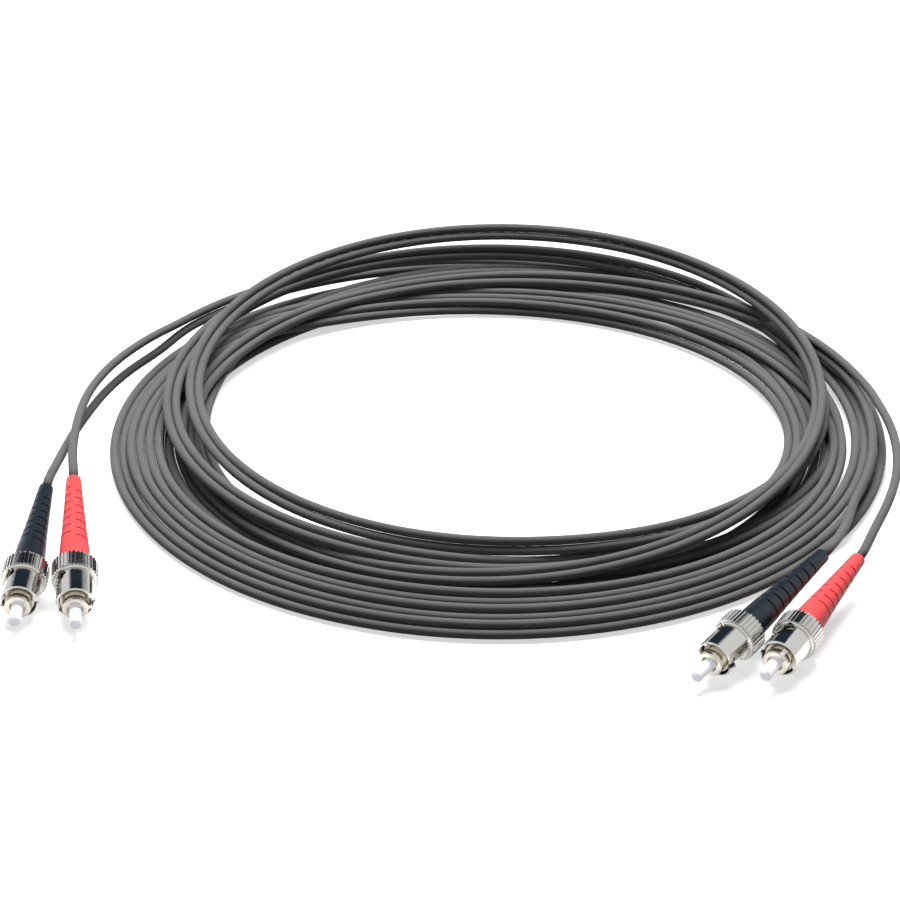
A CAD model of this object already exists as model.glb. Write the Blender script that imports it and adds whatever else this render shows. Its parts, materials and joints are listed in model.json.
"""Looks of a duplex fibre patch cord: a loose coil of twin cord with four spring-loaded bayonet connectors.

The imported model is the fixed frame. This script makes the two legs of the cord, the web between them and the
four springs, gives every turned, moulded and drawn piece its finish, and sets up a plain pale studio.
"""
import json

import bpy
import numpy as np
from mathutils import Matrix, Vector


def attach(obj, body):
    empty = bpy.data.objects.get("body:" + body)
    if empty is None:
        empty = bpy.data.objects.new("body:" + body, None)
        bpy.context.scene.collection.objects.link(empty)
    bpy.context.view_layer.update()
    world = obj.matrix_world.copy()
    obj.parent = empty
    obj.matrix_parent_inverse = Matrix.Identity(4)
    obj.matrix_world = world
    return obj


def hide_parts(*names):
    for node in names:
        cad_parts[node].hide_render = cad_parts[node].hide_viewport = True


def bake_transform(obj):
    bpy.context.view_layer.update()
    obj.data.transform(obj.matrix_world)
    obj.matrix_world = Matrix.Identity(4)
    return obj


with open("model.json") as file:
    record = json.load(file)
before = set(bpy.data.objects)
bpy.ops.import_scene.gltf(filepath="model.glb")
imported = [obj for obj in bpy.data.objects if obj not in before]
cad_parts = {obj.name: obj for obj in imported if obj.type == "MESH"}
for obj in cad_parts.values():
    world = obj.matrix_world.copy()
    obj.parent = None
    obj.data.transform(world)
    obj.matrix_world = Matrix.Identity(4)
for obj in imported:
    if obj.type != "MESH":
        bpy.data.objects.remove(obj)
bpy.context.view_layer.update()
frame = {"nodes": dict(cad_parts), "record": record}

MM = 0.001
TINY = 1e-9

# ---------------------------------------------------------------- layout, in millimetres

CAMERA_AT = (12.5, -531.1, 327.1)
CAMERA_AIM = (-0.0145, 0.8775, -0.4794)   # direction of view
CAMERA_LENS = 121.1               # focal length
SENSOR_WIDTH = 36

BOOT_END = -41.0                  # where the cord leaves a boot, along the connector's axis
CORD_D = 2.0                      # diameter of one leg of the cord
PAIR_D = 2.05                     # from one leg's centre to the other's where the web joins them
WEB_T = 0.3                       # thickness of the web between the legs
WEB_REACH = 0.97                  # the web's edge lies this share of a leg's radius off the leg's centre
LEG_SIDES = 16
RING_STEP = 3.2                   # from one ring of a leg's surface to the next
ROUTE_STEP = 1.5                  # from one point to the next while a leg's route is smoothed
STRAIGHT_OUT = 4                  # how far a lead runs straight out of its boot

# route points of the four leads between a boot and the coil
LEADS = {
    "left_black": [(-82.9, 42, 8.6), (-81.6, 57, 7.4), (-79.8, 71, 6), (-77, 85, 5), (-72.5, 98, 4.2),
                   (-66.5, 109, 3.8)],
    "left_red": [(-78.9, 43, 11.8), (-79.8, 57, 11.2), (-79.6, 71, 10.5), (-77.8, 83, 9.8), (-74, 95, 9.2),
                 (-68, 107, 8.6)],
    "right_black": [(83.2, 11.5, 9.5), (86, 20, 7.6), (88.3, 29, 6), (90.2, 38, 5)],
    "right_red": [(91.6, 17.5, 8), (96, 29, 8.3), (99.4, 41, 8.6), (100.9, 53, 8.8), (100.6, 65, 9),
                  (98.6, 77, 9)],
}

# the coil: a loop carries each pass through its radius, height and lean (degrees that the pair leans
# up from lying flat) at the back, the right, the front and the left
COIL_AT = (12.5, 74.5)
COIL_START = 158.0                # azimuth at which the pair enters the coil, degrees
COIL_STEP = 5.0                   # azimuth from one station to the next
COIL_BACK = 90                    # azimuth of the coil's back, the first place of each pass
QUARTER = 90                      # azimuth from one place of a pass to the next
PER_TURN = int(360 / COIL_STEP)
COIL_IN = (86.5, 6.2, 85)         # radius, height and lean where the pair enters the coil
COIL_OUT = (85.9, 6.5, 85)        # and where it leaves it
PASSES = [
    [(86.4, 2.0, 20), (86.4, 1.6, 15), (86.3, 2.2, -55), (84.8, 1.3, 8)],
    [(79.2, 1.2, 5), (74.3, 1.1, 5), (73.8, 1.1, 5), (74.6, 1.1, 5)],
    [(75.6, 1.2, 5), (70.2, 1.1, 5), (69.6, 1.1, 5), (70.4, 1.1, 5)],
    [(71.6, 1.2, 5), (77.5, 1.2, 5), (65.4, 1.6, 5), (66.2, 1.1, 5)],
    [(83.0, 3.0, 20), (82.3, 3.0, 15), (82.6, 3.6, -50), (81.4, 3.2, 5)],
    [(66.6, 2.6, 30), (78.0, 2.6, 20), (78.2, 5.0, -50), (77.2, 3.4, 5)],
    [(60.8, 2.2, 80), (68.3, 3.0, 30), (65.8, 5.6, -50), (72.6, 7.4, 10)],
    [(87.0, 6.4, 60), (73.8, 6.0, 30), (62.9, 8.2, -80), (66.6, 9.0, 20)],
    [(87.9, 12.3, 65), (72.0, 10.0, 60), (70.2, 4.6, -40), (69.4, 3.2, 15)],
    [(70.8, 5.0, 50), (86.0, 7.0, 85)],
]
STATIONS = 685                    # the black leg leaves the coil at the last station
RED_STATIONS = 680                # the red leg leaves it a little earlier
RED_FIRST = 0.5                   # station at which the red leg comes in from its lead
BLACK_FIRST = 1.5                 # and the black leg, which runs in further round
JOINING = 8                       # stations over which the legs draw together after the way in
PARTING = 6                       # stations over which they part before the way out
WEB_FIRST = 9                     # first station of the web
WEB_LAST = RED_STATIONS - 8       # station at which the web ends


# ---------------------------------------------------------------- small helpers

def linear(hex_colour):
    """Linear RGBA of an sRGB hex colour."""
    srgb = np.array([int(hex_colour[i:i + 2], 16) for i in (1, 3, 5)]) / 255
    rgb = np.where(srgb <= 0.04045, srgb / 12.92, ((srgb + 0.055) / 1.055) ** 2.4)
    return (*rgb.tolist(), 1.0)


def add_node(tree, kind, settings=None, **links):
    """Adds a node; settings are its own properties, links are values or sockets for its inputs, which go by
    name or, where a name isn't unique, by number (i6)."""
    made = tree.nodes.new(kind)
    for key, value in (settings or {}).items():
        setattr(made, key, value)
    for key, value in links.items():
        numbered = key[0] == "i" and key[1:].isdigit()
        socket = made.inputs[int(key[1:]) if numbered else key.replace("_", " ")]
        if isinstance(value, bpy.types.NodeSocket):
            tree.links.new(value, socket)
        else:
            socket.default_value = value
    return made


def new_material(name):
    """A material with its node tree and principled shader."""
    material = bpy.data.materials.new(name)
    material.use_nodes = True
    tree = material.node_tree
    return material, tree, tree.nodes["Principled BSDF"]


def mesh_piece(name, points, faces, smooth=True):
    """A mesh object at the origin from an array of points (metres) and its faces."""
    mesh = bpy.data.meshes.new(name)
    mesh.from_pydata(points.tolist(), [], [list(face) for face in faces])
    mesh.polygons.foreach_set("use_smooth", np.full(len(mesh.polygons), smooth))
    mesh.update()
    piece = bpy.data.objects.new(name, mesh)
    bpy.context.scene.collection.objects.link(piece)
    return piece


def hermite(at, knots, values):
    """Smooth curve through values at the knots (Catmull-Rom slopes), read at the parameters in at."""
    knots, values = np.asarray(knots, float), np.asarray(values, float)
    slope = np.empty_like(values)
    slope[1:-1] = (values[2:] - values[:-2]) / (knots[2:] - knots[:-2])[:, None]
    slope[0] = (values[1] - values[0]) / (knots[1] - knots[0])
    slope[-1] = (values[-1] - values[-2]) / (knots[-1] - knots[-2])
    j = np.clip(np.searchsorted(knots, at, side="right") - 1, 0, len(knots) - 2)
    span = (knots[j + 1] - knots[j])[:, None]
    u = (at - knots[j])[:, None] / span
    return ((2 * u**3 - 3 * u**2 + 1) * values[j] + (u**3 - 2 * u**2 + u) * span * slope[j]
            + (3 * u**2 - 2 * u**3) * values[j + 1] + (u**3 - u**2) * span * slope[j + 1])


def even_steps(path, step):
    """The path read again at even distances of about step along it."""
    along = np.concatenate([[0], np.cumsum(np.linalg.norm(np.diff(path, axis=0), axis=1))])
    count = int(round(along[-1] / step))
    return hermite(np.linspace(0, along[-1], count + 1), along, path)


def frames_along(path):
    """Unit tangent, side and up vectors of a path, with the side kept level."""
    tangent = np.gradient(path, axis=0)
    tangent /= np.linalg.norm(tangent, axis=1)[:, None]
    side = np.cross(tangent, (0, 0, 1))
    side /= np.linalg.norm(side, axis=1)[:, None]
    return tangent, side, np.cross(side, tangent)


# ---------------------------------------------------------------- camera

def make_camera():
    """Long lens from the front, looking down on the coil."""
    camera = bpy.data.objects.new("camera", bpy.data.cameras.new("camera"))
    bpy.context.scene.collection.objects.link(camera)
    camera.location = Vector(CAMERA_AT) * MM
    camera.rotation_euler = Vector(CAMERA_AIM).to_track_quat("-Z", "Y").to_euler()
    camera.data.sensor_width = SENSOR_WIDTH
    camera.data.lens = CAMERA_LENS
    camera.data.clip_start = 0.01
    bpy.context.scene.camera = camera


make_camera()


# ---------------------------------------------------------------- cord

MOUNTS = {m["name"]: m for m in frame["record"]["mounts"]}


def connector_frame(connector):
    """The face point and the unit axis of a connector, in millimetres, from its coupling mount."""
    mount = MOUNTS["coupling_" + connector]
    axis = np.array(mount["axis"], float)
    return np.array(mount["pos_m"], float) / MM, axis / np.linalg.norm(axis)


def boot_end(connector):
    """The point at which the cord leaves a connector's boot, in millimetres."""
    at, axis = connector_frame(connector)
    return at + BOOT_END * axis


def coil_design():
    """Radius, height and lean of the pair at every station, smooth through the values of each pass."""
    knots, values = [0.0], [COIL_IN]
    for turn, row in enumerate(PASSES):
        for quarter, value in enumerate(row):
            knots.append(turn + (COIL_START - COIL_BACK + QUARTER * quarter) / 360)
            values.append(value)
    knots.append(STATIONS / PER_TURN)
    values.append(COIL_OUT)
    return hermite(np.arange(STATIONS) / PER_TURN, knots, values)


def lead_ends():
    """Radius and height at which each leg meets its lead: red in, black in, red out, black out."""
    found = []
    for lead in ("left_red", "left_black", "right_red", "right_black"):
        x, y, z = LEADS[lead][-1]
        found.append((np.hypot(x - COIL_AT[0], y - COIL_AT[1]), z))
    return np.array(found)


def settle_coil(design, rounds=260, calm=60, to_wish=0.03, stiffness=0.25, calm_stiffness=0.08, spare=0.02):
    """Lets the designed turns find room: strands at one azimuth push apart to the pair's distance and a spare
    gap, the web holds each pair at its distance, and bending stiffness smooths each strand along its length.
    Each round draws them a little to the wished place, but for the last calm ones, which only smooth and part
    them. Returns [station, leg, (r, z)]."""
    lean = np.radians(design[:, 2])
    half = np.stack([np.cos(lean), np.sin(lean)], axis=1) * PAIR_D / 2
    wish = np.stack([design[:, :2] + half, design[:, :2] - half], axis=1)
    red_in, black_in, red_out, black_out = lead_ends()
    wish[0] = red_in, black_in
    wish[RED_STATIONS - 1:, 0] = red_out
    wish[-1, 1] = black_out
    station = np.arange(STATIONS)
    drawn_in = np.clip(station / JOINING, 0, 1)
    joined = (drawn_in * np.clip((RED_STATIONS - 1 - station) / PARTING, 0, 1))[:, None]
    pinned = np.zeros((STATIONS, 2), bool)
    pinned[0] = True
    pinned[RED_STATIONS - 1:, 0] = True
    pinned[-1, 1] = True
    live = np.ones((STATIONS, 2), bool)
    live[RED_STATIONS:, 0] = False
    place = wish.copy()
    for done in range(rounds):
        calming = done > rounds - calm
        if not calming:
            place += to_wish * (wish - place)
        bend = np.zeros_like(place)
        bend[1:-1] = place[:-2] + place[2:] - 2 * place[1:-1]
        bend[RED_STATIONS - 1:, 0] = 0
        place += (calm_stiffness if calming else stiffness) * bend
        apart = place[:, 0] - place[:, 1]
        far = np.linalg.norm(apart, axis=1)[:, None]
        pull = 0.5 * (far - PAIR_D) / far * apart * joined
        place[:, 0] -= pull
        place[:, 1] += pull
        for gap in range(len(PASSES)):
            end = STATIONS - PER_TURN * gap
            for a, b in ((0, 1),) if gap == 0 else ((0, 0), (0, 1), (1, 0), (1, 1)):
                apart = place[:end, a] - place[PER_TURN * gap:, b]
                far = np.linalg.norm(apart, axis=1) + TINY
                room = PAIR_D + (spare if gap else 0)
                close = live[:end, a] & live[PER_TURN * gap:, b] & (far < room)
                push = np.where(close, (room - far) / far / 2, 0)[:, None] * apart
                place[:end, a] += push
                place[PER_TURN * gap:, b] -= push
        place[:, :, 1] = np.maximum(place[:, :, 1], CORD_D / 2)
        place[pinned] = wish[pinned]
    return place


def on_coil(stations, rz):
    """Points in the coil: the radius and height at each station, turned to x, y, z at its azimuth."""
    azimuth = np.radians(COIL_START - COIL_STEP * stations)
    x = COIL_AT[0] + rz[:, 0] * np.cos(azimuth)
    y = COIL_AT[1] + rz[:, 0] * np.sin(azimuth)
    return np.stack([x, y, rz[:, 1]], axis=1)


def coil_points(place, leg, first, count):
    """Points of one leg in the coil, four to a station."""
    u = np.arange(first, count - 1 + TINY, 0.25)
    return on_coil(u, hermite(u, np.arange(count), place[:count, leg]))


def lead_points(connector):
    """Points of one lead from its boot to the coil, straight out of the boot at first."""
    _, axis = connector_frame(connector)
    start = boot_end(connector)
    straight = [start + STRAIGHT_OUT * axis, start, start - STRAIGHT_OUT * axis]
    route = np.array(straight + LEADS[connector], float)
    knots = np.concatenate([[0], np.cumsum(np.linalg.norm(np.diff(route, axis=0), axis=1))])
    return hermite(np.arange(knots[1], knots[-1], ROUTE_STEP), knots, route)


def leg_path(place, leg, colour, first, count, smoothing=12, share=0.25):
    """Centreline of one leg from the left boot through the coil to the right boot. Smoothing moves each point
    a share of the way to its neighbours, again and again, to even out the joins of coil and leads."""
    path = np.vstack([
        lead_points("left_" + colour),
        coil_points(place, leg, first, count),
        lead_points("right_" + colour)[::-1],
    ])
    path = even_steps(path, ROUTE_STEP)
    for _ in range(smoothing):
        path[2:-2] += share * (path[1:-3] + path[3:-1] - 2 * path[2:-2])
    return even_steps(path, RING_STEP)


def band_faces(rings, sides):
    """Quads between rings of points that lie one after another, each ring closed."""
    i, k = np.meshgrid(np.arange(rings - 1), np.arange(sides), indexing="ij")
    a, b = i * sides + k, i * sides + (k + 1) % sides
    return np.stack([a, b, b + sides, a + sides], axis=-1).reshape(-1, 4)


def make_tube(name, path, side, up, diameter, sides):
    """Round tube: a circle carried along the path in the plane of its side and up vectors, with both ends
    closed."""
    turn = np.linspace(0, 2 * np.pi, sides, endpoint=False)
    ring = np.cos(turn)[None, :, None] * side[:, None] + np.sin(turn)[None, :, None] * up[:, None]
    points = (path[:, None] + diameter / 2 * ring).reshape(-1, 3)
    last = (len(path) - 1) * sides
    caps = [range(sides - 1, -1, -1), range(last, last + sides)]
    return mesh_piece(name, points * MM, [*band_faces(len(path), sides).tolist(), *caps])


def make_leg(name, path):
    """Round tube of the cord's diameter along a leg's centreline, its circle square to the path."""
    _, side, up = frames_along(path)
    return make_tube(name, path, side, up, CORD_D, LEG_SIDES)


COIL = settle_coil(coil_design())
RED_PATH = leg_path(COIL, 0, "red", RED_FIRST, RED_STATIONS)
BLACK_PATH = leg_path(COIL, 1, "black", BLACK_FIRST, STATIONS)
cord_red = make_leg("cord_red_leg", RED_PATH)
cord_black = make_leg("cord_black_leg", BLACK_PATH)


def make_web():
    """Thin strip that joins the legs: four corner lines half a web thickness off the line between the centres,
    each reaching into its leg."""
    u = np.arange(WEB_FIRST, WEB_LAST, 0.5)
    legs = [hermite(u, np.arange(STATIONS), COIL[:, leg]) for leg in (0, 1)]
    across = legs[0] - legs[1]
    across /= np.linalg.norm(across, axis=1)[:, None]
    square = np.stack([-across[:, 1], across[:, 0]], axis=1) * WEB_T / 2
    inset = across * CORD_D / 2 * WEB_REACH
    corners = [
        legs[0] - inset + square, legs[0] - inset - square,
        legs[1] + inset - square, legs[1] + inset + square,
    ]
    points = np.stack([on_coil(u, corner) for corner in corners], axis=1).reshape(-1, 3)
    # the corners run the other way round than a tube's circle, so the faces are turned over
    return mesh_piece("cord_web", points * MM, band_faces(len(u), len(corners))[:, [0, 3, 2, 1]])


cord_web = make_web()
for piece in (cord_red, cord_black, cord_web):
    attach(piece, "patch_cord")
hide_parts("cord_coil", "cord_lead_left_red", "cord_lead_right_red")
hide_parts("cord_lead_left_black", "cord_lead_right_black")


# ---------------------------------------------------------------- springs

WIRE_D = 0.5
WIRE_SIDES = 12
SPRING_MEAN_R = 2.75
SPRING_TURNS = 5.5
SPRING_RINGS = 264
FLAT_TURN = 0.75                  # length of each flat end turn, in turns
CLOSED_PITCH = 0.9                # pitch of a flat end turn, in wire diameters
SPRING_FRONT = -3.7               # wire centre against the barrel's flange
SPRING_BACK = -9.9                # wire centre against the thrust washer


def make_spring(connector):
    """Round wire on a helix whose end turns lie flat: the station eases from one seat to the other with the
    angle, and the wire's circle lies in the plane of the radius and the axis."""
    at, axis = connector_frame(connector)
    level = np.cross(axis, (0, 0, 1))
    level /= np.linalg.norm(level)
    rise = np.cross(level, axis)
    share = np.linspace(0, 1, SPRING_RINGS)
    flat = FLAT_TURN / SPRING_TURNS
    eased = np.clip((share - flat) / (1 - 2 * flat), 0, 1)
    end_turns = np.clip(share / flat, 0, 1) + np.clip((share - 1 + flat) / flat, 0, 1)
    closing = WIRE_D * CLOSED_PITCH * end_turns
    span = SPRING_BACK - SPRING_FRONT
    station = SPRING_FRONT - closing + eased * (span + 2 * WIRE_D * CLOSED_PITCH)
    angle = 2 * np.pi * SPRING_TURNS * share
    radial = np.cos(angle)[:, None] * level + np.sin(angle)[:, None] * rise
    path = at + station[:, None] * axis + SPRING_MEAN_R * radial
    along = np.broadcast_to(axis, path.shape)
    spring = make_tube("spring_wire_" + connector, path, radial, along, WIRE_D, WIRE_SIDES)
    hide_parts("spring_" + connector)
    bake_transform(spring)
    return spring


springs = [make_spring(connector) for connector in LEADS]


# ---------------------------------------------------------------- finishes

NOISE_SPAN = {"From_Min": 0.3, "From_Max": 0.7}   # most of a noise texture's values lie between these


def object_place(tree):
    """Object coordinates, in metres."""
    return add_node(tree, "ShaderNodeTexCoord").outputs["Object"]


def noise(tree, place, scale, detail):
    """Cloudy noise from 0 to 1."""
    return add_node(tree, "ShaderNodeTexNoise", Vector=place, Scale=scale, Detail=detail).outputs["Fac"]


def mix_colour(tree, shader, share, first, second):
    """Base colour between two hex colours."""
    tone = add_node(tree, "ShaderNodeMix", {"data_type": "RGBA"}, Factor=share, i6=linear(first),
                    i7=linear(second))
    tree.links.new(tone.outputs[2], shader.inputs["Base Color"])


def vary_roughness(tree, shader, cloud, low, high):
    """Roughness that follows a noise from low to high."""
    rough = add_node(tree, "ShaderNodeMapRange", Value=cloud, To_Min=low, To_Max=high, **NOISE_SPAN)
    tree.links.new(rough.outputs["Result"], shader.inputs["Roughness"])


def add_bump(tree, shader, height, strength, distance):
    """Fine relief, its full height in metres given by distance."""
    bump = add_node(tree, "ShaderNodeBump", Strength=strength, Distance=distance, Height=height)
    tree.links.new(bump.outputs["Normal"], shader.inputs["Normal"])


def connector_coordinates(tree, connector):
    """Object coordinates turned and moved so that Z runs along the connector's axis."""
    at, axis = connector_frame(connector)
    turn = Vector(axis).to_track_quat("Z", "Y").to_matrix().inverted()
    moved = turn @ (-Vector(at) * MM)
    return add_node(tree, "ShaderNodeMapping", Vector=object_place(tree), Location=moved,
                    Rotation=turn.to_euler()).outputs["Vector"]


def nickel_plate(connector, name, roughness, tint):
    """Bright nickel plate on turned brass: clear reflections, with the fine rings that the lathe left."""
    material, tree, shader = new_material(f"bright nickel plate {name} {connector}")
    shader.inputs["Metallic"].default_value = 1
    shader.inputs["Base Color"].default_value = linear(tint)
    place = connector_coordinates(tree, connector)
    # turning marks 0.12 mm apart, drawn coarser than real ones so that they show
    rings = add_node(tree, "ShaderNodeTexWave", {"wave_type": "BANDS", "bands_direction": "Z"}, Vector=place,
                     Scale=2600, Distortion=1.5, Detail=2, Detail_Scale=2)
    vary_roughness(tree, shader, noise(tree, place, 450, 3), *roughness)
    add_bump(tree, shader, rings.outputs["Fac"], 0.12, 0.00002)
    return material


def spring_steel():
    """Drawn steel wire and stamped steel: grey, a little blurred, its gloss faintly clouded."""
    material, tree, shader = new_material("drawn spring steel")
    shader.inputs["Metallic"].default_value = 1
    shader.inputs["Base Color"].default_value = linear("#b9b4a8")
    vary_roughness(tree, shader, noise(tree, object_place(tree), 1500, 3), 0.2, 0.38)
    return material


def zirconia():
    """Polished white zirconia ceramic: dense white, glossy, with a little light under the surface."""
    material, tree, shader = new_material("polished zirconia")
    shader.inputs["Roughness"].default_value = 0.12
    shader.inputs["IOR"].default_value = 2.0
    shader.inputs["Subsurface Weight"].default_value = 0.25
    shader.inputs["Subsurface Radius"].default_value = (1.0, 1.0, 1.0)
    shader.inputs["Subsurface Scale"].default_value = 0.0006
    # a faint glow keeps the small rods white against the pale floor
    shader.inputs["Emission Color"].default_value = linear("#eef0ff")
    shader.inputs["Emission Strength"].default_value = 0.35
    mix_colour(tree, shader, noise(tree, object_place(tree), 900, 2), "#f6f6f8", "#efeff3")
    return material


def moulded_elastomer(name, light, dark, roughness, spread=0.06):
    """Injection-moulded thermoplastic elastomer of a strain-relief boot: satin, with a fine moulded grain."""
    material, tree, shader = new_material(f"moulded elastomer {name}")
    shader.inputs["Specular IOR Level"].default_value = 0.4
    place = object_place(tree)
    mix_colour(tree, shader, noise(tree, place, 180, 3), dark, light)
    # moulded grain 0.15 mm across
    grain = noise(tree, place, 6500, 2)
    vary_roughness(tree, shader, grain, roughness - spread, roughness + spread)
    add_bump(tree, shader, grain, 0.25, 0.00004)
    return material


def cord_jacket():
    """Extruded flame-retardant cord jacket: matt dark grey with the fine grain of the die."""
    material, tree, shader = new_material("matt extruded jacket")
    shader.inputs["Specular IOR Level"].default_value = 0.12
    place = object_place(tree)
    mix_colour(tree, shader, noise(tree, place, 60, 3), "#5e5e5e", "#686868")
    # die grain 0.2 mm across
    grain = noise(tree, place, 5000, 2)
    vary_roughness(tree, shader, grain, 0.5, 0.62)
    add_bump(tree, shader, grain, 0.2, 0.00005)
    return material


def aramid_yarn():
    """Yellow aramid yarn: dull, its colour finely mottled by noise."""
    material, tree, shader = new_material("aramid yarn")
    mix_colour(tree, shader, noise(tree, object_place(tree), 4000, 3), "#c99a35", "#ecc766")
    shader.inputs["Roughness"].default_value = 0.6
    return material


def coated_fibre():
    """Glass fibre with its buffer coating: clear, slightly milky, glossy."""
    material, tree, shader = new_material("coated glass fibre")
    mix_colour(tree, shader, noise(tree, object_place(tree), 500, 2), "#c9d3d8", "#e4ecef")
    shader.inputs["Roughness"].default_value = 0.08
    shader.inputs["Transmission Weight"].default_value = 0.5
    return material


def give_finish(piece, material):
    """Gives a piece one material in place of any it has."""
    piece.data.materials.clear()
    piece.data.materials.append(material)


def give_finishes():
    """Gives the cord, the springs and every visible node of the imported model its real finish."""
    steel, ceramic, yarn, glass = spring_steel(), zirconia(), aramid_yarn(), coated_fibre()
    boots = {
        "black": moulded_elastomer("blue black", "#1c252e", "#131a21", 0.45),
        "red": moulded_elastomer("coral red", "#f8595b", "#f24f51", 0.5),
    }
    jacket = cord_jacket()
    for piece in (cord_red, cord_black, cord_web):
        give_finish(piece, jacket)
    for piece in springs:
        give_finish(piece, steel)
    for connector in LEADS:
        colour = connector.split("_")[1]
        materials = {
            "ferrule": ceramic,
            "fibre": glass,
            "thrust_washer": steel,
            "retaining_clip": steel,
            "crimp_sleeve": steel,
            "aramid_yarn": yarn,
            "jacket_end": jacket,
            "boot": boots[colour],
            "barrel": nickel_plate(connector, "barrel", (0.16, 0.24), "#cdc7bb"),
            "coupling_nut": nickel_plate(connector, "nut", (0.07, 0.13), "#cac8c5"),
        }
        for part, material in materials.items():
            give_finish(frame["nodes"][f"{part}_{connector}"], material)


give_finishes()


# ---------------------------------------------------------------- studio, in metres

FLOOR_REACH = 3.0
FLOOR_GLOW = 0.6
BOUNCE_LIGHT = 0.05               # strength of the world for light that bounces, 1 where it is seen

def stage_plane(name, corners, material):
    """A flat piece of the set, which is no part of the object."""
    piece = mesh_piece(name, np.array(corners, float), np.array([[0, 1, 2, 3]]), smooth=False)
    give_finish(piece, material)
    return piece


def seen_directly(tree):
    """1 where the camera, polished metal or clear glass sees a thing, and 0 for light that bounces off it."""
    rays = add_node(tree, "ShaderNodeLightPath")
    seen = add_node(tree, "ShaderNodeMath", {"operation": "MAXIMUM"}, i0=rays.outputs["Is Camera Ray"],
                    i1=rays.outputs["Is Glossy Ray"])
    return add_node(tree, "ShaderNodeMath", {"operation": "MAXIMUM"}, i0=seen.outputs[0],
                    i1=rays.outputs["Is Transmission Ray"]).outputs[0]


def pale_floor():
    """Matt pale floor: white to the eye and in reflections, duller for the light that bounces off it."""
    material, tree, shader = new_material("pale studio floor")
    seen = seen_directly(tree)
    mix_colour(tree, shader, seen, "#303030", "#d8d8d8")
    shader.inputs["Emission Color"].default_value = (1, 1, 1, 1)
    glow = add_node(tree, "ShaderNodeMath", {"operation": "MULTIPLY"}, i0=seen, i1=FLOOR_GLOW)
    tree.links.new(glow.outputs[0], shader.inputs["Emission Strength"])
    shader.inputs["Roughness"].default_value = 0.9
    shader.inputs["Specular IOR Level"].default_value = 0.0
    return material


def area_light(name, at, toward, size, power):
    """A softbox, kept out of the reflections in the metal."""
    lamp = bpy.data.lights.new(name, "AREA")
    lamp.shape = "RECTANGLE"
    lamp.size, lamp.size_y = size
    lamp.energy = power
    piece = bpy.data.objects.new(name, lamp)
    piece.location = at
    piece.rotation_euler = (Vector(toward) - Vector(at)).to_track_quat("-Z", "Y").to_euler()
    piece.visible_glossy = False
    bpy.context.scene.collection.objects.link(piece)


def dark_card():
    """Dark card behind the set, a little blue and lit, that only polished metal sees: it draws the dark bands
    on the turned pieces."""
    material, tree, shader = new_material("black flocked card")
    shader.inputs["Base Color"].default_value = linear("#101010")
    shader.inputs["Emission Color"].default_value = linear("#2b3641")
    shader.inputs["Emission Strength"].default_value = 1.0
    shader.inputs["Specular IOR Level"].default_value = 0.0
    left, right, low, high, back = -1.1, 0.95, 0.35, 3.0, 1.5
    corners = [(left, back, low), (right, back, low), (right, back, high), (left, back, high)]
    card = stage_plane("card", corners, material)
    card.visible_camera = card.visible_diffuse = card.visible_shadow = card.visible_transmission = False


def make_studio():
    """Pale floor, white surroundings, and two softboxes, one overhead and a weak one in front."""
    corners = [(x * FLOOR_REACH, y * FLOOR_REACH, 0) for x, y in ((-1, -1), (1, -1), (1, 1), (-1, 1))]
    stage_plane("floor", corners, pale_floor())
    world = bpy.data.worlds.new("studio")
    bpy.context.scene.world = world
    world.use_nodes = True
    tree = world.node_tree
    strength = add_node(tree, "ShaderNodeMapRange", Value=seen_directly(tree), To_Min=BOUNCE_LIGHT, To_Max=1.0)
    background = tree.nodes["Background"]
    background.inputs["Color"].default_value = (1, 1, 1, 1)
    tree.links.new(strength.outputs["Result"], background.inputs["Strength"])
    area_light("overhead softbox", at=(0.0, 0.45, 0.85), toward=(0.0, 0.03, 0), size=(0.8, 0.4), power=20)
    area_light("front fill", at=(-0.5, -0.9, 0.6), toward=(0, 0, 0), size=(0.6, 0.6), power=1.0)


make_studio()
dark_card()
bpy.context.scene.view_settings.view_transform = "Standard"
